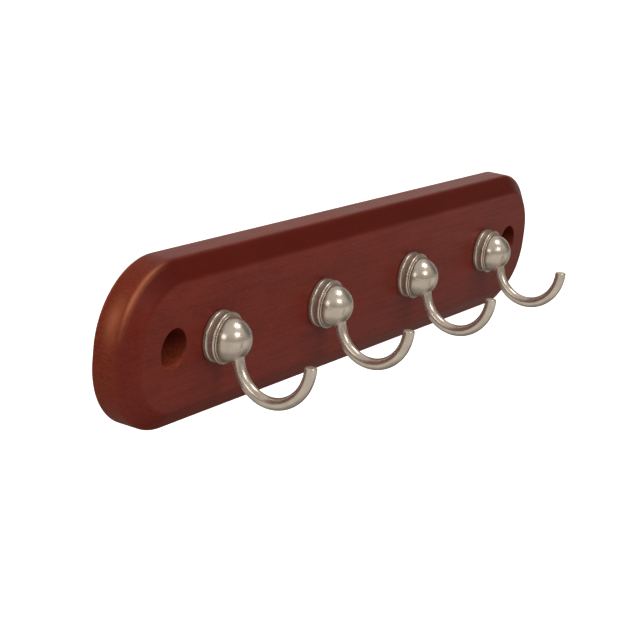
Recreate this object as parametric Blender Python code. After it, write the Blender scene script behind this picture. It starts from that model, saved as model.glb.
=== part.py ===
"""Wall rail with four single coat hooks, in metres, +Z up.

The origin is the centre of the board's back face, which lies on the wall.
+X runs along the board, +Y points into the wall, so the hooks stand out
towards -Y. Heights "h" below are measured from the board's front face
towards -Y, and radii are measured from each hook's own axis.
"""

import math

import bmesh
import bpy
from mathutils import Matrix, Vector

MM = 0.001
GAP = 0.3 * MM
BEYOND = 2.0 * MM

# Board
BOARD_LENGTH = 455.0 * MM
BOARD_HEIGHT = 88.4 * MM
BOARD_THICKNESS = 21.3 * MM
CORNER_RADIUS = 41.0 * MM
CORNER_STEPS = 10
# The square edge, then a bevel to the face; both of its corners are eased
SQUARE_EDGE = 14.2 * MM
BEVEL_INSET = 10.4 * MM
OUTER_EASE_RADIUS = 3.0 * MM
FACE_EASE_RADIUS = 5.6 * MM

# Wall screw holes, one near each end: a deep counterbore, then a screw hole
WALL_HOLE_X = 190.0 * MM
COUNTERBORE_RADIUS = 10.55 * MM
COUNTERBORE_DEPTH = 15.5 * MM
WALL_SCREW_HOLE_RADIUS = 3.2 * MM

# Hooks, at a pitch of four inches
HOOK_COUNT = 4
HOOK_PITCH = 101.6 * MM

# Turned rosette under each hook
ROSETTE_RADIUS = 13.8 * MM
BAND_RADIUS = 13.2 * MM
BEAD_RADIUS = 12.9 * MM
GROOVE_RADIUS = 12.4 * MM
EDGE_EASE = 0.4 * MM
DISC_TOP = 2.5 * MM
FLANGE_BOTTOM = 5.2 * MM
FLANGE_TOP = 6.95 * MM
ROSETTE_TOP = 7.8 * MM

# Half-ball body that holds the rod
DOME_CENTRE = 7.5 * MM
DOME_RADIUS = 11.75 * MM
DOME_BACK = 8.1 * MM
DOME_HOLE_END = 15.2 * MM

# Rod bent to a J
ROD_RADIUS = 3.3 * MM
BEND_CENTRE_H = 34.9 * MM
BEND_CENTRE_Z = -4.0 * MM
BEND_RADIUS_Y = 21.7 * MM
BEND_RADIUS_Z = 23.2 * MM
TIP_ANGLE = 0.04
ROD_TOP_Z = -4.4 * MM
TIP_CHAMFER = 0.6 * MM
ROD_SIDES = 12
ROD_STEPS = 26

# Machine screw from the back, with a washer under its head
SCREW_RADIUS = 2.05 * MM
SCREW_END_H = 14.6 * MM
CLEARANCE_RADIUS = 2.4 * MM
REAR_BORE_RADIUS = 6.5 * MM
REAR_BORE_DEPTH = 7.5 * MM
WASHER_RADIUS = 5.2 * MM
WASHER_THICKNESS = 1.0 * MM
HEAD_RADIUS = 4.0 * MM
HEAD_HEIGHT = 2.9 * MM
SLOT_WIDTH = 1.1 * MM
SLOT_DEPTH = 1.2 * MM


def clear_scene():
    for obj in list(bpy.data.objects):
        bpy.data.objects.remove(obj, do_unlink=True)


def material(name, color, metallic, roughness):
    mat = bpy.data.materials.new(name)
    mat.use_nodes = True
    shader = mat.node_tree.nodes["Principled BSDF"]
    shader.inputs["Base Color"].default_value = (*color, 1.0)
    shader.inputs["Metallic"].default_value = metallic
    shader.inputs["Roughness"].default_value = roughness
    mat.diffuse_color = (*color, 1.0)
    return mat


def new_object(name, bm, mat=None, crease=30.0):
    bmesh.ops.recalc_face_normals(bm, faces=bm.faces)
    mesh = bpy.data.meshes.new(name)
    bm.to_mesh(mesh)
    bm.free()
    mesh.shade_smooth()
    mesh.set_sharp_from_angle(angle=math.radians(crease))
    obj = bpy.data.objects.new(name, mesh)
    bpy.context.collection.objects.link(obj)
    if mat is not None:
        mesh.materials.append(mat)
    return obj


def bridge(bm, loop_a, loop_b):
    count = len(loop_a)
    for i in range(count):
        j = (i + 1) % count
        bm.faces.new((loop_a[i], loop_a[j], loop_b[j], loop_b[i]))


def turned(name, profile, mat=None, segments=32):
    """A closed turned body about the Y axis from (h, radius) points.

    The profile runs round the section. Two ends on the axis are closed to a
    point; a profile with no end on the axis makes a ring.
    """
    bm = bmesh.new()
    loops = []
    for h, radius in profile:
        if radius < 1e-9:
            loops.append([bm.verts.new((0.0, -h, 0.0))])
            continue
        ring = []
        for i in range(segments):
            angle = 2.0 * math.pi * i / segments
            x = radius * math.cos(angle)
            z = radius * math.sin(angle)
            ring.append(bm.verts.new((x, -h, z)))
        loops.append(ring)
    on_axis = len(loops[0]) == 1
    pairs = list(zip(loops, loops[1:]))
    if not on_axis:
        pairs.append((loops[-1], loops[0]))
    for a, b in pairs:
        if len(a) == 1 or len(b) == 1:
            tip, ring = (a[0], b) if len(a) == 1 else (b[0], a)
            for i in range(segments):
                bm.faces.new((tip, ring[i], ring[(i + 1) % segments]))
        else:
            bridge(bm, a, b)
    return new_object(name, bm, mat)


def cutter(name, profile, segments=32):
    obj = turned(name, profile, None, segments)
    obj.hide_render = True
    obj.display_type = "WIRE"
    return obj


def cut(target, tool, name):
    mod = target.modifiers.new(name, "BOOLEAN")
    mod.operation = "DIFFERENCE"
    mod.solver = "EXACT"
    mod.object = tool


def outline(inset):
    """Rounded rectangle in X and Z, shrunk by inset on every side."""
    half_x = BOARD_LENGTH / 2.0 - CORNER_RADIUS
    half_z = BOARD_HEIGHT / 2.0 - CORNER_RADIUS
    radius = CORNER_RADIUS - inset
    points = []
    for quarter, (sx, sz) in enumerate(((1, 1), (-1, 1), (-1, -1), (1, -1))):
        for step in range(CORNER_STEPS + 1):
            angle = math.radians(90.0 * (quarter + step / CORNER_STEPS))
            x = sx * half_x + radius * math.cos(angle)
            z = sz * half_z + radius * math.sin(angle)
            points.append((x, z))
    return points


def arc(centre, radius, start, stop, steps):
    """(inset, depth) points whose direction turns from start to stop."""
    points = []
    for step in range(steps + 1):
        angle = start + (stop - start) * step / steps
        inset = centre[0] - radius * math.cos(angle)
        points.append((inset, centre[1] + radius * math.sin(angle)))
    return points


def edge_levels():
    """(inset, depth from the back): square edge, eased bevel, face."""
    bevel_depth = BOARD_THICKNESS - SQUARE_EDGE
    turn = math.atan2(BEVEL_INSET, bevel_depth)
    before = OUTER_EASE_RADIUS * math.tan(turn / 2.0)
    after = FACE_EASE_RADIUS * math.tan((math.pi / 2.0 - turn) / 2.0)
    outer = (OUTER_EASE_RADIUS, SQUARE_EDGE - before)
    inner = (BEVEL_INSET + after, BOARD_THICKNESS - FACE_EASE_RADIUS)
    levels = [(0.0, 0.0)]
    levels += arc(outer, OUTER_EASE_RADIUS, 0.0, turn, 3)
    levels += arc(inner, FACE_EASE_RADIUS, turn, math.pi / 2.0, 3)
    return levels


def make_board(mat):
    """Square-edged at the back, with an eased bevel round the front."""
    levels = edge_levels()
    bm = bmesh.new()
    loops = []
    for inset, y in levels:
        loops.append([bm.verts.new((x, -y, z)) for x, z in outline(inset)])
    for a, b in zip(loops, loops[1:]):
        bridge(bm, a, b)
    bm.faces.new(loops[0])
    bm.faces.new(loops[-1])
    return new_object("board", bm, mat)


def hook_x(index):
    return (index - (HOOK_COUNT - 1) / 2.0) * HOOK_PITCH


def rosette_profile():
    ease = EDGE_EASE
    return [
        (GAP, CLEARANCE_RADIUS),
        (GAP, ROSETTE_RADIUS - ease),
        (GAP + ease, ROSETTE_RADIUS),
        (DISC_TOP - ease, ROSETTE_RADIUS),
        (DISC_TOP, ROSETTE_RADIUS - ease),
        (DISC_TOP + 0.1 * MM, BAND_RADIUS),
        (FLANGE_BOTTOM - 0.1 * MM, BAND_RADIUS),
        (FLANGE_BOTTOM + ease, ROSETTE_RADIUS),
        (FLANGE_TOP - ease, ROSETTE_RADIUS),
        (FLANGE_TOP, ROSETTE_RADIUS - ease),
        (FLANGE_TOP + 0.05 * MM, GROOVE_RADIUS),
        (FLANGE_TOP + 0.2 * MM, BEAD_RADIUS),
        (ROSETTE_TOP - 0.15 * MM, BEAD_RADIUS),
        (ROSETTE_TOP, BEAD_RADIUS - 0.25 * MM),
        (ROSETTE_TOP, CLEARANCE_RADIUS),
    ]


def dome_profile(steps=8):
    """Half ball with a flat back and the screw's blind hole."""
    points = [(DOME_HOLE_END, 0.0), (DOME_HOLE_END, CLEARANCE_RADIUS)]
    points.append((DOME_BACK, CLEARANCE_RADIUS))
    start = math.asin((DOME_BACK - DOME_CENTRE) / DOME_RADIUS)
    for step in range(steps):
        angle = start + (0.5 * math.pi - start) * step / steps
        h = DOME_CENTRE + DOME_RADIUS * math.sin(angle)
        points.append((h, DOME_RADIUS * math.cos(angle)))
    points.append((DOME_CENTRE + DOME_RADIUS, 0.0))
    return points


def screw_profile():
    """Headed screw: its head sits in the rear bore, on the washer."""
    floor_h = -(BOARD_THICKNESS - REAR_BORE_DEPTH)
    seat = floor_h - GAP - WASHER_THICKNESS - GAP
    back = seat - HEAD_HEIGHT
    return [
        (back, 0.0),
        (back, HEAD_RADIUS - 0.8 * MM),
        (back + 0.9 * MM, HEAD_RADIUS),
        (seat, HEAD_RADIUS),
        (seat, SCREW_RADIUS),
        (SCREW_END_H - 0.5 * MM, SCREW_RADIUS),
        (SCREW_END_H, SCREW_RADIUS - 0.5 * MM),
        (SCREW_END_H, 0.0),
    ]


def washer_profile():
    floor_h = -(BOARD_THICKNESS - REAR_BORE_DEPTH)
    top = floor_h - GAP
    back = top - WASHER_THICKNESS
    return [
        (back, CLEARANCE_RADIUS),
        (back, WASHER_RADIUS),
        (top, WASHER_RADIUS),
        (top, CLEARANCE_RADIUS),
    ]


def bend_point(angle):
    """Point of the rod's centre line, as (h, z), on its elliptical bend."""
    h = BEND_CENTRE_H - BEND_RADIUS_Y * math.cos(angle)
    z = BEND_CENTRE_Z + BEND_RADIUS_Z * math.sin(angle)
    return h, z


def rod_path(top_z, stop_angle):
    """Centre line from inside the dome, down and round to the tip.

    The angle runs from 0, where the bend rises straight up under the dome,
    through the bottom at -pi/2, to -pi at the tip's side.
    """
    points = [(*bend_point(0.0)[:1], top_z)]
    for step in range(ROD_STEPS + 1):
        angle = stop_angle * step / ROD_STEPS
        h, z = bend_point(angle)
        if z < top_z - 0.8 * MM:
            points.append((h, z))
    return [Vector((0.0, -h, z)) for h, z in points]


def tube(name, path, radius, mat=None, chamfer=0.0):
    """Round rod along a path in the plane X = 0, closed at both ends."""
    tangents = []
    for i in range(len(path)):
        before = path[max(i - 1, 0)]
        after = path[min(i + 1, len(path) - 1)]
        tangents.append((after - before).normalized())
    sections = []
    for point, tangent in zip(path, tangents):
        sections.append((point, tangent, radius))
    if chamfer:
        end, direction, _ = sections[-1]
        sections[-1] = (end - direction * chamfer, direction, radius)
        sections.append((end, direction, radius - chamfer))
    side = Vector((1.0, 0.0, 0.0))
    bm = bmesh.new()
    rings = []
    for point, tangent, r in sections:
        up = tangent.cross(side)
        ring = []
        for i in range(ROD_SIDES):
            angle = 2.0 * math.pi * (i + 0.5) / ROD_SIDES
            offset = side * math.cos(angle) + up * math.sin(angle)
            ring.append(bm.verts.new(point + offset * r))
        rings.append(ring)
    for a, b in zip(rings, rings[1:]):
        bridge(bm, a, b)
    bm.faces.new(rings[0])
    bm.faces.new(rings[-1])
    return new_object(name, bm, mat)


def place(obj, x, parent=None):
    obj.location = (x, -BOARD_THICKNESS, 0.0)
    obj.parent = parent
    return obj


def stepped_profile(back_radius, step_h, front_radius):
    """A hole right through the board that changes radius at step_h."""
    back = -BOARD_THICKNESS - BEYOND
    return [
        (back, 0.0),
        (back, back_radius),
        (step_h, back_radius),
        (step_h, front_radius),
        (BEYOND, front_radius),
        (BEYOND, 0.0),
    ]


def main():
    clear_scene()
    wood = material("stained_wood", (0.135, 0.024, 0.019), 0.0, 0.38)
    nickel = material("satin_nickel", (0.46, 0.43, 0.38), 1.0, 0.28)
    zinc = material("zinc_steel", (0.52, 0.53, 0.55), 1.0, 0.35)

    rail = bpy.data.objects.new("rail", None)
    bpy.context.collection.objects.link(rail)
    board = make_board(wood)
    board.parent = rail

    wall_hole = stepped_profile(
        WALL_SCREW_HOLE_RADIUS, -COUNTERBORE_DEPTH, COUNTERBORE_RADIUS
    )
    for side, x in (("left", -WALL_HOLE_X), ("right", WALL_HOLE_X)):
        hole = cutter("cut_wall_hole_" + side, wall_hole, 24)
        cut(board, place(hole, x), "wall_hole_" + side)

    rear_hole = stepped_profile(
        REAR_BORE_RADIUS, REAR_BORE_DEPTH - BOARD_THICKNESS, CLEARANCE_RADIUS
    )
    path = rod_path(ROD_TOP_Z, -math.pi - TIP_ANGLE)
    socket_path = rod_path(ROD_TOP_Z + GAP, -0.5 * math.pi)
    for index in range(HOOK_COUNT):
        x = hook_x(index)
        tag = str(index + 1)
        rear = cutter("cut_hook_hole_" + tag, rear_hole, 20)
        cut(board, place(rear, x), "hook_hole_" + tag)

        hook = bpy.data.objects.new("hook_" + tag, None)
        bpy.context.collection.objects.link(hook)
        hook.parent = rail
        place(turned("rosette_" + tag, rosette_profile(), nickel), x, hook)
        dome = place(turned("dome_" + tag, dome_profile(), nickel, 28), x, hook)
        socket = tube("cut_socket_" + tag, socket_path, ROD_RADIUS + GAP)
        socket.hide_render = True
        socket.display_type = "WIRE"
        cut(dome, place(socket, x), "rod_socket")
        rod = tube("hook_rod_" + tag, path, ROD_RADIUS, nickel, TIP_CHAMFER)
        place(rod, x, hook)
        place(turned("washer_" + tag, washer_profile(), zinc, 20), x, hook)
        screw = turned("screw_" + tag, screw_profile(), zinc, 16)
        place(screw, x, hook)
        slot = bmesh.new()
        bmesh.ops.create_cube(slot, size=1.0)
        size = (4.0 * HEAD_RADIUS, 2.0 * SLOT_DEPTH, SLOT_WIDTH)
        bmesh.ops.transform(
            slot, matrix=Matrix.Diagonal((*size, 1.0)), verts=slot.verts
        )
        slot_cut = new_object("cut_slot_" + tag, slot)
        slot_cut.hide_render = True
        slot_cut.display_type = "WIRE"
        back_h = screw_profile()[0][0]
        slot_cut.location = (x, -BOARD_THICKNESS - back_h, 0.0)
        cut(screw, slot_cut, "slot")


main()
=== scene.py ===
"""Looks of the four-hook wall rail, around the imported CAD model.

Everything is in metres in the CAD frame: +X along the board, +Y into the
wall, +Z up, with the origin at the centre of the board's back face. Heights
"h" are measured from the board's front face towards -Y.
"""

import math

import bmesh
import bpy
from mathutils import Matrix, Vector


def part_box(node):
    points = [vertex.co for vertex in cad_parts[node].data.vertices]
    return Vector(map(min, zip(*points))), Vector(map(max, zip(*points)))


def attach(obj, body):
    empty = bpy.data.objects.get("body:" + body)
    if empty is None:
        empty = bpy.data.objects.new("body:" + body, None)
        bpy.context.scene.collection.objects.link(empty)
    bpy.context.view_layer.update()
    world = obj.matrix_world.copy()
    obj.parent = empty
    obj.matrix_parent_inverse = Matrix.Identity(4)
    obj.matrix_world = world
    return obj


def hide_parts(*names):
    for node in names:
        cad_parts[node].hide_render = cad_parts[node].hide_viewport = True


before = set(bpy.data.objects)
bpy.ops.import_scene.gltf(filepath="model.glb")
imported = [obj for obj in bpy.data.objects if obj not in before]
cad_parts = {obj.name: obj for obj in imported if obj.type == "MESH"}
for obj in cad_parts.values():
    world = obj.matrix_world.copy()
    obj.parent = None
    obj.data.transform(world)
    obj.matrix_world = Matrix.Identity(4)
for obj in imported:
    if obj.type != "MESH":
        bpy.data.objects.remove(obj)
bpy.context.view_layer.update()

MM = 0.001


# ---------------------------------------------------------------- sizes
BOARD_LOW, BOARD_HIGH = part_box("board")
LENGTH = BOARD_HIGH[0] - BOARD_LOW[0]
HEIGHT = BOARD_HIGH[2] - BOARD_LOW[2]
THICK = BOARD_HIGH[1] - BOARD_LOW[1]
FRONT = BOARD_LOW[1]
CORNER_RADIUS = 41.0 * MM
SQUARE_EDGE = 14.2 * MM
BEVEL_INSET = 10.4 * MM
OUTER_EASE_RADIUS = 3.0 * MM
FACE_EASE_RADIUS = 5.6 * MM
WALL_HOLE_X = 190.0 * MM
COUNTERBORE_RADIUS = 10.55 * MM
COUNTERBORE_DEPTH = 15.5 * MM
WALL_SCREW_RADIUS = 3.2 * MM
REAR_BORE_RADIUS = 6.5 * MM
REAR_BORE_DEPTH = 7.5 * MM
CLEARANCE_RADIUS = 2.4 * MM
BACK_EASE = 0.5 * MM
WORN_DEPTH = 1.6 * MM
MOUTH_EASE = 0.6 * MM
FLOOR_EASE = 0.3 * MM
BEYOND = 2.0 * MM

DOME_CENTRE = 7.5 * MM
DOME_RADIUS = 11.75 * MM
DOME_BACK = 8.1 * MM

ROD_RADIUS = 3.3 * MM
BEND_CENTRE_H = 34.9 * MM
BEND_CENTRE_Z = -4.0 * MM
BEND_RADIUS_Y = 21.7 * MM
BEND_RADIUS_Z = 23.2 * MM
TIP_ANGLE = 0.04
TIP_CHAMFER = 0.65 * MM
ROD_TOP_Z = -4.4 * MM

SCREW_RADIUS = 2.05 * MM
SCREW_HEAD_RADIUS = 4.0 * MM
SCREW_TIP = 14.6 * MM
SLOT_SIZE = (12.0 * MM, 2.4 * MM, 1.1 * MM)
WASHER_INNER = 2.4 * MM
WASHER_OUTER = 5.2 * MM

HOOKS = ("1", "2", "3", "4")

# Edges sharper than this stay sharp, in degrees
CREASE = 32.0
TURNED_CREASE = 40.0
BOARD_CREASE = 28.0


def middle_x(node):
    low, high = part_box(node)
    return 0.5 * (low[0] + high[0])


# ---------------------------------------------------------------- looks
# Stained wood: colours, and how much of each is mixed in
WOOD_DEEP = (0.172, 0.0205, 0.0118)
WOOD_PLAIN = (0.215, 0.0262, 0.0152)
WOOD_FIBRE = (0.1, 0.0105, 0.0065)
WOOD_LIGHT = (0.32, 0.047, 0.028)
# Tint of painted shade towards the right and the bottom, where the light falls
# off
LOWER_RIGHT_SHADE_TINT = (0.68, 0.7, 0.7)
# Pale bare wood, brightened as painted light, on the low walls of the
# counterbores
BORE_BARE_AND_LIT = (0.56, 0.12, 0.055)
WOOD_PORE = (0.06, 0.007, 0.0045)
# Deeper stain with painted shade, for the bevel
WOOD_ROUTED_AND_SHADED = (0.092, 0.0088, 0.0054)
ROUTED_SHADE_SHARE = 0.75
# Rubbed wood, lightened further as a painted highlight on the arrises and end
# faces
WOOD_WORN_AND_LIT = (0.58, 0.19, 0.09)
END_SHARE = 0.8
END_DEEP = (0.155, 0.018, 0.0065)
END_LIGHT = (0.29, 0.043, 0.016)
FIBRE_SHARE = 0.42
FINE_SHARE = 0.4
CLOUD_SHARE = 0.3
PORE_SHARE = 0.35
LOWER_RIGHT_SHADE_SHARE = 0.85
BORE_SHARE = 0.75
WOOD_ROUGH = (0.3, 0.4)
END_ROUGHER = 0.12
WOOD_SPECULAR = 0.13
WOOD_BUMP = 0.14
BUMP_DISTANCE = 0.3 * MM

# Rubbing with a painted highlight, and the bevel's stain with painted shade,
# round the ends. Angles are in degrees from the side, and for the fading of
# the bevel's stain and shade from straight up.
LEAST_WEAR = 0.04
RUB_AND_HIGHLIGHT_FROM = 5.0
RUB_AND_HIGHLIGHT_TO = 84.0
PATCH_HIGHLIGHT = 0.8
PATCH_ANGLE = 22.0
PATCH_SPREAD = 15.0
PATCH_DEPTH = 9.0 * MM
PATCH_WIDTH = 3.8 * MM
LOWER_STAIN_AND_SHADE = 0.2
FADED_STAIN_AND_SHADE = 0.85
FADE_FROM = 20.0
FADE_OVER = 45.0
WALL_NEAR = 14.0 * MM
REAR_NEAR = 9.0 * MM

# Plated metal: (colour, dark colour, lowest and highest roughness, grain)
NICKEL = ((0.74, 0.66, 0.575), (0.32, 0.268, 0.235), 0.21, 0.28, 900)
ZINC = ((0.62, 0.63, 0.65), (0.35, 0.35, 0.37), 0.24, 0.36, 1200)
METALLIC = 0.78
METAL_BUMP = 0.008
PATCH_SHARE = 0.35
SPECK_SHARE = 0.16
RECESS_SHADE_SHARE = 0.65
RECESS_ROUGHER = 0.3

# Light levels of the surround
ROOM_COLOR = (1.0, 0.94, 0.86)
UP = (0.0, 0.0, 1.0)
TABLE_TOWARDS = (-0.7, -0.7, 0.0)
DIM_TOWARDS = (1.0, -0.1, 0.0)
WALL_TOWARDS = (0.35, 0.94, 0.1)
TABLE_DIM = 0.36
TABLE_BRIGHT = 0.68
UNDER_RAIL = 0.04
ROOM_LOW = 0.27
ROOM_HIGH = 0.56
WALL_BEHIND = 0.64
CURTAIN = (0.85, -0.3, 0.42)
CURTAIN_DARK = 0.05

# Soft boxes: (name, azimuth, elevation, distance, size, power, colour)
BOX_WHITE = (1.0, 0.97, 0.93)
BOXES = (
    ("box_over", 32, 68, 1.3, (0.52, 0.38), 3.2, BOX_WHITE),
    ("box_front", -19, 33, 1.4, (0.46, 0.32), 2.2, BOX_WHITE),
    ("box_left", -88, 19, 1.3, (0.34, 0.42), 1.0, (1.0, 0.93, 0.82)),
)
FLOOR_DROP = 0.6
FLOOR_SIZE = 40.0
FLOOR_TONES = ((0.93, 0.93, 0.93), (0.95, 0.95, 0.95))

# Angles in radians, lens and sensor in millimetres
CAMERA_PLACE = (-0.87378, -0.49204, 0.25305)
CAMERA_YAW = 1.047
CAMERA_PITCH = 0.268
CAMERA_ROLL = 0.109
CAMERA_LENS = 101.455
CAMERA_SENSOR = 36.0
CAMERA_SHIFT_Y = 0.0018


# ---------------------------------------------------------------- nodes
class Nodes:
    """Short calls for building a node material."""

    def __init__(self, name):
        self.mat = bpy.data.materials.new(name)
        self.mat.use_nodes = True
        self.tree = self.mat.node_tree
        self.shader = self.tree.nodes["Principled BSDF"]

    def new(self, kind, **values):
        node = self.tree.nodes.new(kind)
        for key, value in values.items():
            setattr(node, key, value)
        return node

    def link(self, out, into):
        self.tree.links.new(out, into)

    def coords(self, scale, location=(0, 0, 0)):
        tex = self.new("ShaderNodeTexCoord")
        mapping = self.new("ShaderNodeMapping")
        mapping.inputs["Scale"].default_value = scale
        mapping.inputs["Location"].default_value = location
        self.link(tex.outputs["Object"], mapping.inputs["Vector"])
        return mapping.outputs["Vector"]

    def noise(self, scale, detail, rough, distort=0.0, location=(0, 0, 0)):
        """Noise in object space. A larger scale gives finer noise."""
        node = self.new("ShaderNodeTexNoise")
        node.inputs["Scale"].default_value = 1.0
        node.inputs["Detail"].default_value = detail
        node.inputs["Roughness"].default_value = rough
        node.inputs["Distortion"].default_value = distort
        self.link(self.coords(scale, location), node.inputs["Vector"])
        return node.outputs["Fac"]

    def remap(self, value, low, high, to_low=0.0, to_high=1.0):
        node = self.new("ShaderNodeMapRange")
        node.inputs["From Min"].default_value = low
        node.inputs["From Max"].default_value = high
        node.inputs["To Min"].default_value = to_low
        node.inputs["To Max"].default_value = to_high
        self.link(value, node.inputs["Value"])
        return node.outputs["Result"]

    def math(self, operation, a, b=0.0):
        node = self.new("ShaderNodeMath", operation=operation)
        for socket, value in zip(node.inputs, (a, b)):
            if isinstance(value, (int, float)):
                socket.default_value = value
            else:
                self.link(value, socket)
        return node.outputs["Value"]

    def mix(self, factor, a, b, blend="MIX"):
        node = self.new("ShaderNodeMix", data_type="RGBA", blend_type=blend)
        self.link(factor, node.inputs["Factor"])
        for key, value in (("A", a), ("B", b)):
            socket = [
                s for s in node.inputs if s.name == key and s.type == "RGBA"
            ][0]
            if isinstance(value, tuple):
                socket.default_value = (*value, 1.0)
            else:
                self.link(value, socket)
        return [s for s in node.outputs if s.type == "RGBA"][0]

    def attribute(self, name):
        node = self.new("ShaderNodeAttribute", attribute_name=name)
        return node.outputs["Fac"]

    def separate(self, vector):
        node = self.new("ShaderNodeSeparateXYZ")
        self.link(vector, node.inputs["Vector"])
        return [node.outputs[axis] for axis in "XYZ"]

    def bump(self, height, strength):
        node = self.new("ShaderNodeBump")
        node.inputs["Strength"].default_value = strength
        node.inputs["Distance"].default_value = BUMP_DISTANCE
        self.link(height, node.inputs["Height"])
        return node.outputs["Normal"]

    def finish(self, color, rough, normal, **fixed):
        self.link(color, self.shader.inputs["Base Color"])
        self.link(rough, self.shader.inputs["Roughness"])
        self.link(normal, self.shader.inputs["Normal"])
        for key, value in fixed.items():
            self.shader.inputs[key.replace("_", " ")].default_value = value
        return self.mat


def wood_material():
    """Red-brown stain under satin lacquer, with fine grain along X."""
    n = Nodes("stained_wood_look")
    fibre = n.noise((26, 620, 620), 4.0, 0.6, 0.2)
    fine = n.noise((260, 1500, 1500), 3.0, 0.6)
    figure = n.noise((4.5, 36, 30), 3.0, 0.5, 1.2, (3.1, 0.4, 0.9))
    cloud = n.noise((34, 60, 60), 4.0, 0.6)
    pores = n.noise((220, 1500, 1500), 2.0, 0.55, 0.0, (1.7, 2, 5))
    speck = n.noise((900, 420, 900), 3.0, 0.65)
    x, y, z = n.separate(n.coords((1, 1, 1)))

    # Figure, dark fibres, light specks and clouds, pores
    base = n.mix(n.remap(figure, 0.35, 0.65), WOOD_DEEP, WOOD_PLAIN)
    share = n.remap(fibre, 0.42, 0.68, 0.0, FIBRE_SHARE)
    base = n.mix(share, base, WOOD_FIBRE)
    share = n.remap(fine, 0.45, 0.72, 0.0, FINE_SHARE)
    base = n.mix(share, base, WOOD_LIGHT)
    share = n.remap(cloud, 0.42, 0.7, 0.0, CLOUD_SHARE)
    base = n.mix(share, base, WOOD_LIGHT)
    pore = n.remap(pores, 0.64, 0.72)
    base = n.mix(n.math("MULTIPLY", pore, PORE_SHARE), base, WOOD_PORE)

    # End grain, on the outer sides of the round ends only
    square = n.math("SUBTRACT", 1.0, n.attribute("routed_and_shaded"))
    across = n.math("MULTIPLY", n.attribute("end_grain"), square)
    across = n.math("MULTIPLY", across, END_SHARE)
    _, facing, _ = n.separate(n.new("ShaderNodeNewGeometry").outputs["Normal"])
    outward = n.math(
        "MULTIPLY", n.remap(facing, -0.55, -0.1),
        n.remap(facing, 0.1, 0.55, 1.0, 0.0),
    )
    across = n.math("MULTIPLY", across, outward)
    warm = n.mix(n.remap(speck, 0.3, 0.7), END_DEEP, END_LIGHT)
    base = n.mix(across, base, warm)

    # Deeper stain on the bevel, with painted shade there that is strongest
    # along the top
    share = n.math("MULTIPLY", n.attribute("routed_and_shaded"), ROUTED_SHADE_SHARE)
    base = n.mix(share, base, WOOD_ROUTED_AND_SHADED)
    # Painted shade: darker towards the right and the bottom, where the light
    # falls off
    lower = n.math(
        "SUBTRACT", n.remap(x, -0.2, 0.2, 0.0, 0.35),
        n.remap(z, -0.035, 0.035, -0.35, 0.3),
    )
    lower = n.math("ADD", lower, n.remap(cloud, 0.3, 0.7, -0.1, 0.1))
    falloff_shade = n.remap(lower, -0.2, 0.7, 0.0, LOWER_RIGHT_SHADE_SHARE)
    base = n.mix(falloff_shade, base, LOWER_RIGHT_SHADE_TINT, "MULTIPLY")

    # Counterbores: bare wood lit with painted light low down, painted shade at
    # the top
    from_hole = n.math("SUBTRACT", n.math("ABSOLUTE", x), WALL_HOLE_X)
    squares = n.math(
        "ADD", n.math("MULTIPLY", from_hole, from_hole),
        n.math("MULTIPLY", z, z),
    )
    radius = n.math("SQRT", squares)
    rim = COUNTERBORE_RADIUS
    bore = n.remap(radius, rim + 0.3 * MM, rim, 0.0, 1.0)
    bore = n.math("MULTIPLY", bore, n.remap(y, -0.005, -0.0055))
    bare_and_lit = n.remap(z, 0.004, -0.008, 0.0, 0.8)
    inside = n.mix(bare_and_lit, WOOD_PORE, BORE_BARE_AND_LIT)
    inside = n.mix(n.remap(fibre, 0.4, 0.65, 0.0, 0.5), inside, WOOD_FIBRE)
    base = n.mix(n.math("MULTIPLY", bore, BORE_SHARE), base, inside)

    # Rubbed finish with a painted highlight on the upper arrises, and a
    # painted glow on the end faces
    wear_and_highlight = n.math(
        "MULTIPLY", n.attribute("edge"), n.remap(cloud, 0.3, 0.7, 0.45, 0.9)
    )
    base = n.mix(wear_and_highlight, base, WOOD_WORN_AND_LIT)

    # Sheen and relief
    rough = n.remap(n.math("ADD", fibre, cloud), 0.7, 1.3, *WOOD_ROUGH)
    rough = n.math("ADD", rough, n.math("MULTIPLY", across, END_ROUGHER))
    height = n.math(
        "ADD",
        n.math("MULTIPLY", fibre, 0.5),
        n.math("SUBTRACT", n.math("MULTIPLY", fine, 0.4), pore),
    )
    normal = n.bump(height, WOOD_BUMP)
    return n.finish(base, rough, normal, Specular_IOR_Level=WOOD_SPECULAR)


def metal_material(name, color, dark, rough_low, rough_high, grain):
    """Satin plate: a very soft bump, patchy sheen, painted shade in duller
    recesses.
    """
    n = Nodes(name)
    fine = n.noise((grain, grain * 0.35, grain), 2.0, 0.5)
    patch = n.noise((130, 130, 130), 3.0, 0.5)
    speck = n.noise((1500, 1500, 1500), 2.0, 0.5)
    base = n.mix(n.remap(patch, 0.35, 0.7, 0.0, PATCH_SHARE), color, dark)
    base = n.mix(n.remap(speck, 0.5, 0.72, 0.0, SPECK_SHARE), base, dark)
    # Painted shade in the rosette's hollows and on its sides
    recess_shade = n.attribute("recess_shade")
    base = n.mix(n.math("MULTIPLY", recess_shade, RECESS_SHADE_SHARE), base, dark)
    rough = n.math(
        "ADD",
        n.remap(fine, 0.3, 0.7, rough_low, rough_high),
        n.math("MULTIPLY", recess_shade, RECESS_ROUGHER),
    )
    normal = n.bump(fine, METAL_BUMP)
    return n.finish(base, rough, normal, Metallic=METALLIC)


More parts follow.
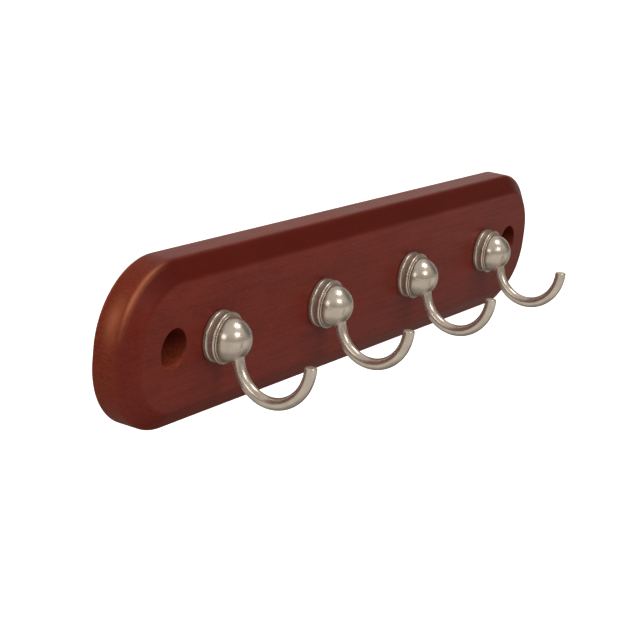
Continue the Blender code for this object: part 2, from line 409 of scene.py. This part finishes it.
# ---------------------------------------------------------------- meshes
def mesh_object(name, bm, mat, crease=CREASE):
    """New object from a bmesh, smooth except at edges over the crease."""
    bmesh.ops.recalc_face_normals(bm, faces=bm.faces)
    mesh = bpy.data.meshes.new(name)
    bm.to_mesh(mesh)
    bm.free()
    mesh.shade_smooth()
    mesh.set_sharp_from_angle(angle=math.radians(crease))
    obj = bpy.data.objects.new(name, mesh)
    bpy.context.scene.collection.objects.link(obj)
    if mat is not None:
        mesh.materials.append(mat)
    return obj


def bridge(bm, a, b):
    """Quads between two rings of the same length."""
    count = len(a)
    for i in range(count):
        j = (i + 1) % count
        bm.faces.new((a[i], a[j], b[j], b[i]))


def rounded(points, steps=5):
    """(h, radius, fillet) corners to a polyline with rounded corners."""
    out = []
    for i, (h, radius, fillet) in enumerate(points):
        here = Vector((h, radius))
        if fillet <= 0.0:
            out.append(here)
            continue
        before = Vector(points[i - 1][:2])
        after = Vector(points[(i + 1) % len(points)][:2])
        start = here + (before - here).normalized() * fillet
        end = here + (after - here).normalized() * fillet
        for step in range(steps + 1):
            t = step / steps
            a = start.lerp(here, t)
            b = here.lerp(end, t)
            out.append(a.lerp(b, t))
    return out


def turned_mesh(profile, x, segments, recess_shade=None):
    """Turned body about the hook's axis at x, from (h, radius) points."""
    bm = bmesh.new()
    layer = bm.verts.layers.float.new("recess_shade")
    loops = []
    for point in profile:
        h, radius = point[0], point[1]
        value = recess_shade(h, radius) if recess_shade else 0.0
        ring = []
        count = 1 if radius < 1e-9 else segments
        for i in range(count):
            angle = 2.0 * math.pi * i / segments
            vert = bm.verts.new(
                (
                    x + radius * math.cos(angle),
                    FRONT - h,
                    radius * math.sin(angle),
                )
            )
            vert[layer] = value
            ring.append(vert)
        loops.append(ring)
    pairs = list(zip(loops, loops[1:]))
    if len(loops[0]) > 1:
        pairs.append((loops[-1], loops[0]))
    for a, b in pairs:
        if len(a) == 1 or len(b) == 1:
            tip, ring = (a[0], b) if len(a) == 1 else (b[0], a)
            for i in range(segments):
                bm.faces.new((tip, ring[i], ring[(i + 1) % segments]))
        else:
            bridge(bm, a, b)
    return bm


def cut(target, tool):
    """Cuts the tool from the target with an exact Boolean."""
    mod = target.modifiers.new("cut", "BOOLEAN")
    mod.operation = "DIFFERENCE"
    mod.solver = "EXACT"
    mod.object = tool
    bpy.context.view_layer.update()
    graph = bpy.context.evaluated_depsgraph_get()
    result = bpy.data.meshes.new_from_object(target.evaluated_get(graph))
    if not result.polygons:
        raise ValueError(target.name + " was cut away")
    target.modifiers.clear()
    old = target.data
    target.data = result
    bpy.data.meshes.remove(old)
    bpy.data.objects.remove(tool, do_unlink=True)


# ---------------------------------------------------------------- board
def level_normals(mesh):
    """Gives the flat front and back faces exactly flat shading normals."""
    flat = {}
    for face in mesh.polygons:
        if abs(face.normal.y) > 0.99999:
            for vertex in face.vertices:
                flat[vertex] = face.normal.copy()
    normals = [tuple(corner.vector) for corner in mesh.corner_normals]
    for face in mesh.polygons:
        for loop in face.loop_indices:
            straight = flat.get(mesh.loops[loop].vertex_index)
            if straight is not None and face.normal.dot(straight) > 0.85:
                normals[loop] = tuple(straight)
    mesh.normals_split_custom_set(normals)


def plain_bores(mesh):
    """Clears the rubbing, painted highlight and bevel shade values that
    cutting leaves at the bores.
    """
    hooks = [middle_x("rosette_" + tag) for tag in HOOKS]
    for index, vertex in enumerate(mesh.vertices):
        x, _, z = vertex.co
        at_wall_hole = math.hypot(abs(x) - WALL_HOLE_X, z) < WALL_NEAR
        to_hook = min(math.hypot(x - at, z) for at in hooks)
        if at_wall_hole or to_hook < REAR_NEAR:
            mesh.attributes["edge"].data[index].value = 0.0
            mesh.attributes["routed_and_shaded"].data[index].value = 0.0


def outline(inset, steps=28):
    """(x, z) points round the board, drawn in by the inset."""
    half_x = LENGTH / 2.0 - CORNER_RADIUS
    half_z = HEIGHT / 2.0 - CORNER_RADIUS
    radius = CORNER_RADIUS - inset
    points = []
    for quarter, (sx, sz) in enumerate(((1, 1), (-1, 1), (-1, -1), (1, -1))):
        for step in range(steps + 1):
            angle = math.radians(90.0 * (quarter + step / steps))
            points.append(
                (
                    sx * half_x + radius * math.cos(angle),
                    sz * half_z + radius * math.sin(angle),
                )
            )
    return points


def board_levels():
    """(inset, depth, rubbing and highlight, stain and shade) from the back
    face to the front.

    The rubbing peaks on the front arris, where it also carries a painted
    highlight, and on the back corner. The fourth value rises to 1 on the
    bevel, which takes the stain more darkly and carries painted shade, and
    falls again towards the face.
    """
    ease = BACK_EASE
    levels = [(ease, 0.0, 0.0, 0.0), (0.35 * ease, 0.3 * ease, 1.0, 0.0)]
    levels += [(0.0, ease, 0.5, 0.0), (0.0, WORN_DEPTH, 0.0, 0.0)]
    bevel_depth = THICK - SQUARE_EDGE
    turn = math.atan2(BEVEL_INSET, bevel_depth)
    before = OUTER_EASE_RADIUS * math.tan(turn / 2.0)
    after = FACE_EASE_RADIUS * math.tan((math.pi / 2.0 - turn) / 2.0)
    start = SQUARE_EDGE - before
    for step in range(1, 6):
        depth = WORN_DEPTH + (start - WORN_DEPTH) * step / 6
        levels.append((0.0, depth, 0.0, 0.0))
    steps = 12
    for step in range(steps + 1):
        share = step / steps
        angle = turn * share
        inset = OUTER_EASE_RADIUS * (1.0 - math.cos(angle))
        depth = start + OUTER_EASE_RADIUS * math.sin(angle)
        wear_and_highlight = math.exp(-(((share - 0.62) / 0.42) ** 2))
        levels.append((inset, depth, wear_and_highlight, min(1.0, share * 1.15) ** 2))
    inset, depth = levels[-1][:2]
    inner = (BEVEL_INSET + after, THICK - FACE_EASE_RADIUS)
    reach = (
        inner[0] - FACE_EASE_RADIUS * math.cos(turn) - inset,
        inner[1] + FACE_EASE_RADIUS * math.sin(turn) - depth,
    )
    for step in range(1, 5):
        share = step / 5
        levels.append(
            (inset + reach[0] * share, depth + reach[1] * share, 0.0, 1.0)
        )
    for step in range(steps + 1):
        share = step / steps
        angle = turn + (math.pi / 2.0 - turn) * share
        inset = inner[0] - FACE_EASE_RADIUS * math.cos(angle)
        depth = inner[1] + FACE_EASE_RADIUS * math.sin(angle)
        levels.append((inset, depth, 0.0, 1.0 - share**1.4))
    levels.append((inner[0] + 1.5 * MM, THICK, 0.0, 0.0))
    return levels


def past_corner(x):
    """How far x lies past the centre of the corner arcs, towards an end."""
    return abs(x) - (0.5 * LENGTH - CORNER_RADIUS)


def clamped(value):
    return min(1.0, max(0.0, value))


def upper_corner(x, z):
    """Rubbing and painted highlight: up to 1 on the round upper corners, which
    hands touch.
    """
    side = past_corner(x)
    if side <= 0.0:
        return LEAST_WEAR
    up = z - (0.5 * HEIGHT - CORNER_RADIUS)
    angle = math.degrees(math.atan2(up, side))
    rise = clamped((angle - RUB_AND_HIGHLIGHT_FROM) / 30.0)
    fall = clamped((RUB_AND_HIGHLIGHT_TO - angle) / 18.0)
    return LEAST_WEAR + (1.0 - LEAST_WEAR) * rise * fall


def painted_end_glow(x, z, depth):
    """Painted highlight: a soft glow on each end face, by the arris."""
    side = past_corner(x)
    if side <= 0.0:
        return 0.0
    angle = math.degrees(math.atan2(z - 0.5 * HEIGHT + CORNER_RADIUS, side))
    along = (angle - PATCH_ANGLE) / PATCH_SPREAD
    across = (depth - PATCH_DEPTH) / PATCH_WIDTH
    return PATCH_HIGHLIGHT * math.exp(-along * along - across * across)


def stain_and_shade_depth(x, z):
    """Stain and painted shade on the bevel: full along the top, fainter round
    the ends.
    """
    side = past_corner(x)
    if side <= 0.0:
        return 1.0 if z > 0.0 else LOWER_STAIN_AND_SHADE
    away = math.degrees(math.atan2(side, z))
    share = clamped((away - FADE_FROM) / FADE_OVER)
    return 1.0 - FADED_STAIN_AND_SHADE * share * share * (3.0 - 2.0 * share)


def wall_hole_points():
    """Counterbore with an eased mouth, and the screw hole behind it."""
    ease, radius = MOUTH_EASE, COUNTERBORE_RADIUS
    points = [
        (-THICK - BEYOND, 0.0),
        (-THICK - BEYOND, WALL_SCREW_RADIUS),
        (-COUNTERBORE_DEPTH, WALL_SCREW_RADIUS),
        (-COUNTERBORE_DEPTH, radius - FLOOR_EASE),
        (-COUNTERBORE_DEPTH + FLOOR_EASE, radius),
        (-ease, radius),
    ]
    for step in range(1, 7):
        angle = 0.5 * math.pi * step / 6
        h = -ease + ease * math.sin(angle)
        points.append((h, radius + ease * (1.0 - math.cos(angle))))
    return points + [(BEYOND, radius + ease), (BEYOND, 0.0)]


def rear_bore_points():
    """Bore for a screw head from the back, and its clearance hole."""
    floor_h = REAR_BORE_DEPTH - THICK
    return [
        (-THICK - BEYOND, 0.0),
        (-THICK - BEYOND, REAR_BORE_RADIUS),
        (floor_h, REAR_BORE_RADIUS),
        (floor_h, CLEARANCE_RADIUS),
        (BEYOND, CLEARANCE_RADIUS),
        (BEYOND, 0.0),
    ]


def make_board(mat):
    bm = bmesh.new()
    edge = bm.verts.layers.float.new("edge")
    dark = bm.verts.layers.float.new("routed_and_shaded")
    end = bm.verts.layers.float.new("end_grain")
    loops = []
    for inset, depth, wear_and_highlight, routed_and_shaded in board_levels():
        loop = []
        for x, z in outline(inset):
            vert = bm.verts.new((x, BOARD_HIGH[1] - depth, z))
            vert[edge] = max(
                wear_and_highlight * upper_corner(x, z), painted_end_glow(x, z, depth)
            )
            vert[dark] = routed_and_shaded * stain_and_shade_depth(x, z)
            vert[end] = clamped(past_corner(x) / (0.8 * CORNER_RADIUS))
            loop.append(vert)
        loops.append(loop)
    for a, b in zip(loops, loops[1:]):
        bridge(bm, a, b)
    bm.faces.new(loops[0])
    bm.faces.new(loops[-1])
    board = mesh_object("rail_board", bm, mat)
    hole, rear = wall_hole_points(), rear_bore_points()
    for x in (-WALL_HOLE_X, WALL_HOLE_X):
        cut(board, mesh_object("tool", turned_mesh(hole, x, 72), None))
    for tag in HOOKS:
        x = middle_x("rosette_" + tag)
        cut(board, mesh_object("tool", turned_mesh(rear, x, 48), None))
    board.data.shade_smooth()
    board.data.set_sharp_from_angle(angle=math.radians(BOARD_CREASE))
    plain_bores(board.data)
    level_normals(board.data)
    return board


# ---------------------------------------------------------------- hooks
def rosette_recess_shade(h, radius):
    """Share of painted shade, and of a duller finish, in the rosette's hollows
    and on its sides.
    """
    in_band = 2.6 * MM < h < 5.1 * MM and radius < 13.3 * MM
    in_groove = 6.9 * MM < h < 7.3 * MM and radius < 12.8 * MM
    front = h > 7.5 * MM and radius < 12.6 * MM
    side = h < 2.0 * MM and radius > 13.6 * MM
    if in_groove or front:
        return 1.0
    return 0.7 if in_band else 0.4 if side else 0.0


def rosette_points():
    """Disc, narrower band, flange, groove and bead, as (h, radius)."""
    corners = (
        (0.3, 2.4, 0.0),
        (0.3, 13.8, 0.2),
        (2.5, 13.8, 0.75),
        (2.65, 13.05, 0.12),
        (5.1, 13.05, 0.15),
        (5.2, 13.8, 0.75),
        (6.95, 13.8, 0.8),
        (6.98, 12.4, 0.08),
        (7.12, 12.4, 0.05),
        (7.15, 12.9, 0.15),
        (7.8, 12.85, 0.3),
        (7.8, 2.4, 0.0),
    )
    return rounded([(a * MM, b * MM, c * MM) for a, b, c in corners])


def dome_points(steps=40):
    """Half ball with a blind screw hole from the back."""
    points = [(15.2 * MM, 0.0), (15.2 * MM, CLEARANCE_RADIUS)]
    points += [(DOME_BACK, CLEARANCE_RADIUS)]
    start = math.asin((DOME_BACK - DOME_CENTRE) / DOME_RADIUS)
    rim = DOME_RADIUS * math.cos(start)
    points += [(DOME_BACK, rim - 0.25 * MM), (DOME_BACK + 0.08 * MM, rim)]
    for step in range(1, steps):
        angle = start + (0.5 * math.pi - start) * step / steps
        h = DOME_CENTRE + DOME_RADIUS * math.sin(angle)
        points.append((h, DOME_RADIUS * math.cos(angle)))
    points.append((DOME_CENTRE + DOME_RADIUS, 0.0))
    return points


def bend_point(angle, x):
    return Vector(
        (
            x,
            FRONT - BEND_CENTRE_H + BEND_RADIUS_Y * math.cos(angle),
            BEND_CENTRE_Z + BEND_RADIUS_Z * math.sin(angle),
        )
    )


def rod_path(x, steps=110):
    """Centre line: down from inside the dome, then round the bend."""
    points = [Vector((x, bend_point(0.0, x).y, ROD_TOP_Z))]
    stop = -math.pi - TIP_ANGLE
    for step in range(steps + 1):
        point = bend_point(stop * step / steps, x)
        if point.z < ROD_TOP_Z - 0.3 * MM or step > steps // 2:
            points.append(point)
    return points


def tube_mesh(path, radius, sides=40):
    """Rod with a flat, softly chamfered far end."""
    bm = bmesh.new()
    count = len(path)
    tangents = []
    for i in range(count):
        ahead = path[min(i + 1, count - 1)]
        tangents.append((ahead - path[max(i - 1, 0)]).normalized())
    sections = [(p, t, radius) for p, t in zip(path, tangents)]
    end, direction, _ = sections.pop()
    chamfer = TIP_CHAMFER
    while (end - sections[-1][0]).length < chamfer * 1.2:
        sections.pop()
    steps = 6
    for step in range(steps + 1):
        angle = 0.5 * math.pi * step / steps
        back = chamfer * (1.0 - math.sin(angle))
        size = radius - chamfer * (1.0 - math.cos(angle))
        sections.append((end - direction * back, direction, size))
    sections.append((end + direction * 0.05 * MM, direction, radius * 0.4))
    side = Vector((1.0, 0.0, 0.0))
    rings = []
    for point, tangent, size in sections:
        up = tangent.cross(side)
        ring = []
        for i in range(sides):
            angle = 2.0 * math.pi * i / sides
            offset = side * math.cos(angle) + up * math.sin(angle)
            ring.append(bm.verts.new(point + offset * size))
        rings.append(ring)
    for a, b in zip(rings, rings[1:]):
        bridge(bm, a, b)
    bm.faces.new(rings[0])
    bm.faces.new(rings[-1])
    return bm


def screw_points():
    """Screw with a rounded head, and the h of the head's outer face."""
    floor_h = REAR_BORE_DEPTH - THICK
    seat = floor_h - 1.6 * MM
    back = seat - 2.9 * MM
    corners = (
        (back, 0.0, 0.0),
        (back, 3.2 * MM, 0.7 * MM),
        (back + 1.0 * MM, SCREW_HEAD_RADIUS, 0.4 * MM),
        (seat, SCREW_HEAD_RADIUS, 0.15 * MM),
        (seat, SCREW_RADIUS, 0.0),
        (SCREW_TIP - 0.5 * MM, SCREW_RADIUS, 0.0),
        (SCREW_TIP, SCREW_RADIUS - 0.5 * MM, 0.0),
        (SCREW_TIP, 0.0, 0.0),
    )
    return rounded(corners), back


def washer_points():
    """Flat washer between the screw head and the floor of its bore."""
    top = REAR_BORE_DEPTH - THICK - 0.3 * MM
    back = top - 1.0 * MM
    corners = (
        (back, WASHER_INNER, 0.1 * MM),
        (back, WASHER_OUTER, 0.15 * MM),
        (top, WASHER_OUTER, 0.1 * MM),
        (top, WASHER_INNER, 0.1 * MM),
    )
    return rounded(corners)


def add_piece(obj, node):
    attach(obj, "root")
    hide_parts(node)


def make_hook(tag, nickel, zinc):
    """The five pieces of one hook, each in its CAD node's place."""
    x = middle_x("rosette_" + tag)
    bm = turned_mesh(rosette_points(), x, 96, rosette_recess_shade)
    rosette = mesh_object("rosette_fine_" + tag, bm, nickel, TURNED_CREASE)
    add_piece(rosette, "rosette_" + tag)
    bm = turned_mesh(dome_points(), x, 96)
    dome = mesh_object("dome_fine_" + tag, bm, nickel, TURNED_CREASE)
    add_piece(dome, "dome_" + tag)
    rod = mesh_object(
        "hook_rod_fine_" + tag, tube_mesh(rod_path(x), ROD_RADIUS), nickel
    )
    add_piece(rod, "hook_rod_" + tag)
    bm = turned_mesh(washer_points(), x, 48)
    washer = mesh_object("washer_fine_" + tag, bm, zinc)
    add_piece(washer, "washer_" + tag)
    points, back = screw_points()
    screw = mesh_object("screw_fine_" + tag, turned_mesh(points, x, 48), zinc)
    bm = bmesh.new()
    size = Matrix.Diagonal((*SLOT_SIZE, 1.0))
    place = Matrix.Translation((x, FRONT - back, 0.0))
    bmesh.ops.create_cube(bm, size=1.0, matrix=place @ size)
    cut(screw, mesh_object("tool", bm, None))
    screw.data.set_sharp_from_angle(angle=math.radians(CREASE))
    add_piece(screw, "screw_" + tag)


# ---------------------------------------------------------------- stage
def make_camera():
    yaw, pitch, roll = CAMERA_YAW, CAMERA_PITCH, CAMERA_ROLL
    ahead = Vector(
        (
            math.sin(yaw) * math.cos(pitch),
            math.cos(yaw) * math.cos(pitch),
            -math.sin(pitch),
        )
    )
    level = Vector((math.cos(yaw), -math.sin(yaw), 0.0))
    up = level.cross(ahead)
    right = level * math.cos(roll) + up * math.sin(roll)
    up = up * math.cos(roll) - level * math.sin(roll)
    data = bpy.data.cameras.new("camera")
    data.lens = CAMERA_LENS
    data.sensor_width = CAMERA_SENSOR
    data.shift_y = CAMERA_SHIFT_Y
    data.clip_start = 0.05
    data.clip_end = 200.0
    camera = bpy.data.objects.new("camera", data)
    turn = Matrix((right, up, -ahead)).transposed().to_4x4()
    camera.matrix_world = Matrix.Translation(CAMERA_PLACE) @ turn
    bpy.context.scene.collection.objects.link(camera)
    bpy.context.scene.camera = camera


def area_light(name, azimuth, elevation, distance, size, power, color):
    """Soft box that faces the rail. Azimuth 0 is in front, 90 is at +X."""
    a, e = math.radians(azimuth), math.radians(elevation)
    away = Vector(
        (math.sin(a) * math.cos(e), -math.cos(a) * math.cos(e), math.sin(e))
    )
    data = bpy.data.lights.new(name, "AREA")
    data.shape = "RECTANGLE"
    data.size, data.size_y = size
    data.energy = power
    data.color = color
    light = bpy.data.objects.new(name, data)
    light.location = away * distance
    light.rotation_mode = "QUATERNION"
    light.rotation_quaternion = (-away).to_track_quat("-Z", "Y")
    bpy.context.scene.collection.objects.link(light)


def make_floor():
    """Pale floor far below. Its glow is for the eye: the world lights."""
    bm = bmesh.new()
    bmesh.ops.create_grid(bm, x_segments=2, y_segments=2, size=FLOOR_SIZE)
    bmesh.ops.translate(bm, verts=bm.verts, vec=(0.0, 0.0, -FLOOR_DROP))
    n = Nodes("pale_floor")
    soft = n.noise((3, 3, 3), 2.0, 0.5)
    tone = n.mix(soft, *FLOOR_TONES)
    n.link(tone, n.shader.inputs["Base Color"])
    n.link(tone, n.shader.inputs["Emission Color"])
    n.shader.inputs["Emission Strength"].default_value = 1.0
    n.shader.inputs["Roughness"].default_value = 0.9
    n.shader.inputs["Specular IOR Level"].default_value = 0.0
    floor = mesh_object("floor", bm, n.mat)
    floor.visible_diffuse = False
    floor.visible_glossy = False
    floor.visible_shadow = False


def make_world():
    """Studio surround: white to the eye, and a soft room as light.

    Below the horizon lies a table, palest in front and to the left, and
    dark under the rail and low on the right. Above it is a room that is
    dim at the horizon and brighter overhead, with a pale wall low behind
    and a dark curtain high on the right.
    """
    world = bpy.data.worlds.new("studio")
    bpy.context.scene.world = world
    world.use_nodes = True
    tree = world.node_tree
    back = tree.nodes["Background"]
    coord = tree.nodes.new("ShaderNodeTexCoord")

    def along(direction, low, high, to_low=0.0, to_high=1.0):
        dot = tree.nodes.new("ShaderNodeVectorMath")
        dot.operation = "DOT_PRODUCT"
        dot.inputs[1].default_value = Vector(direction).normalized()
        tree.links.new(coord.outputs["Generated"], dot.inputs[0])
        span = tree.nodes.new("ShaderNodeMapRange")
        span.interpolation_type = "SMOOTHSTEP"
        for key, value in (
            ("From Min", low),
            ("From Max", high),
            ("To Min", to_low),
            ("To Max", to_high),
        ):
            span.inputs[key].default_value = value
        tree.links.new(dot.outputs["Value"], span.inputs["Value"])
        return span.outputs["Result"]

    def blend(factor, a, b):
        mix = tree.nodes.new("ShaderNodeMix")
        for key, value in (("Factor", factor), ("A", a), ("B", b)):
            socket = mix.inputs[key]
            if isinstance(value, (int, float)):
                socket.default_value = value
            else:
                tree.links.new(value, socket)
        return mix.outputs["Result"]

    def product_of(a, b):
        node = tree.nodes.new("ShaderNodeMath")
        node.operation = "MULTIPLY"
        tree.links.new(a, node.inputs[0])
        tree.links.new(b, node.inputs[1])
        return node.outputs["Value"]

    table = along(TABLE_TOWARDS, -0.55, 0.45, TABLE_DIM, TABLE_BRIGHT)
    nadir = along(UP, -0.98, -0.72, 0.6, 0.0)
    table = blend(nadir, table, UNDER_RAIL)
    room = along(UP, 0.05, 0.7, ROOM_LOW, ROOM_HIGH)
    wall = along(WALL_TOWARDS, 0.1, 0.6)
    low = along(UP, 0.32, 0.44, 1.0, 0.0)
    room = blend(along(CURTAIN, 0.84, 0.96), room, CURTAIN_DARK)
    room = blend(product_of(wall, low), room, WALL_BEHIND)
    under = product_of(
        along(UP, -0.75, -0.3, 1.0, 0.0),
        along(DIM_TOWARDS, 0.2, 0.7),
    )
    table = blend(under, table, UNDER_RAIL)
    light = blend(along(UP, -0.04, 0.01), table, room)
    path = tree.nodes.new("ShaderNodeLightPath")
    level = blend(path.outputs["Is Camera Ray"], light, 1.0)
    tint = tree.nodes.new("ShaderNodeMix")
    tint.data_type = "RGBA"
    tree.links.new(path.outputs["Is Camera Ray"], tint.inputs["Factor"])
    colors = [s for s in tint.inputs if s.type == "RGBA"]
    colors[0].default_value = (*ROOM_COLOR, 1.0)
    colors[1].default_value = (1.0, 1.0, 1.0, 1.0)
    result = [s for s in tint.outputs if s.type == "RGBA"][0]
    tree.links.new(result, back.inputs["Color"])
    tree.links.new(level, back.inputs["Strength"])
    bpy.context.scene.view_settings.view_transform = "Standard"


# ---------------------------------------------------------------- build
make_world()
make_camera()
make_floor()
for box in BOXES:
    area_light(*box)

wood = wood_material()
nickel = metal_material("satin_nickel_look", *NICKEL)
zinc = metal_material("zinc_look", *ZINC)
add_piece(make_board(wood), "board")
for tag in HOOKS:
    make_hook(tag, nickel, zinc)
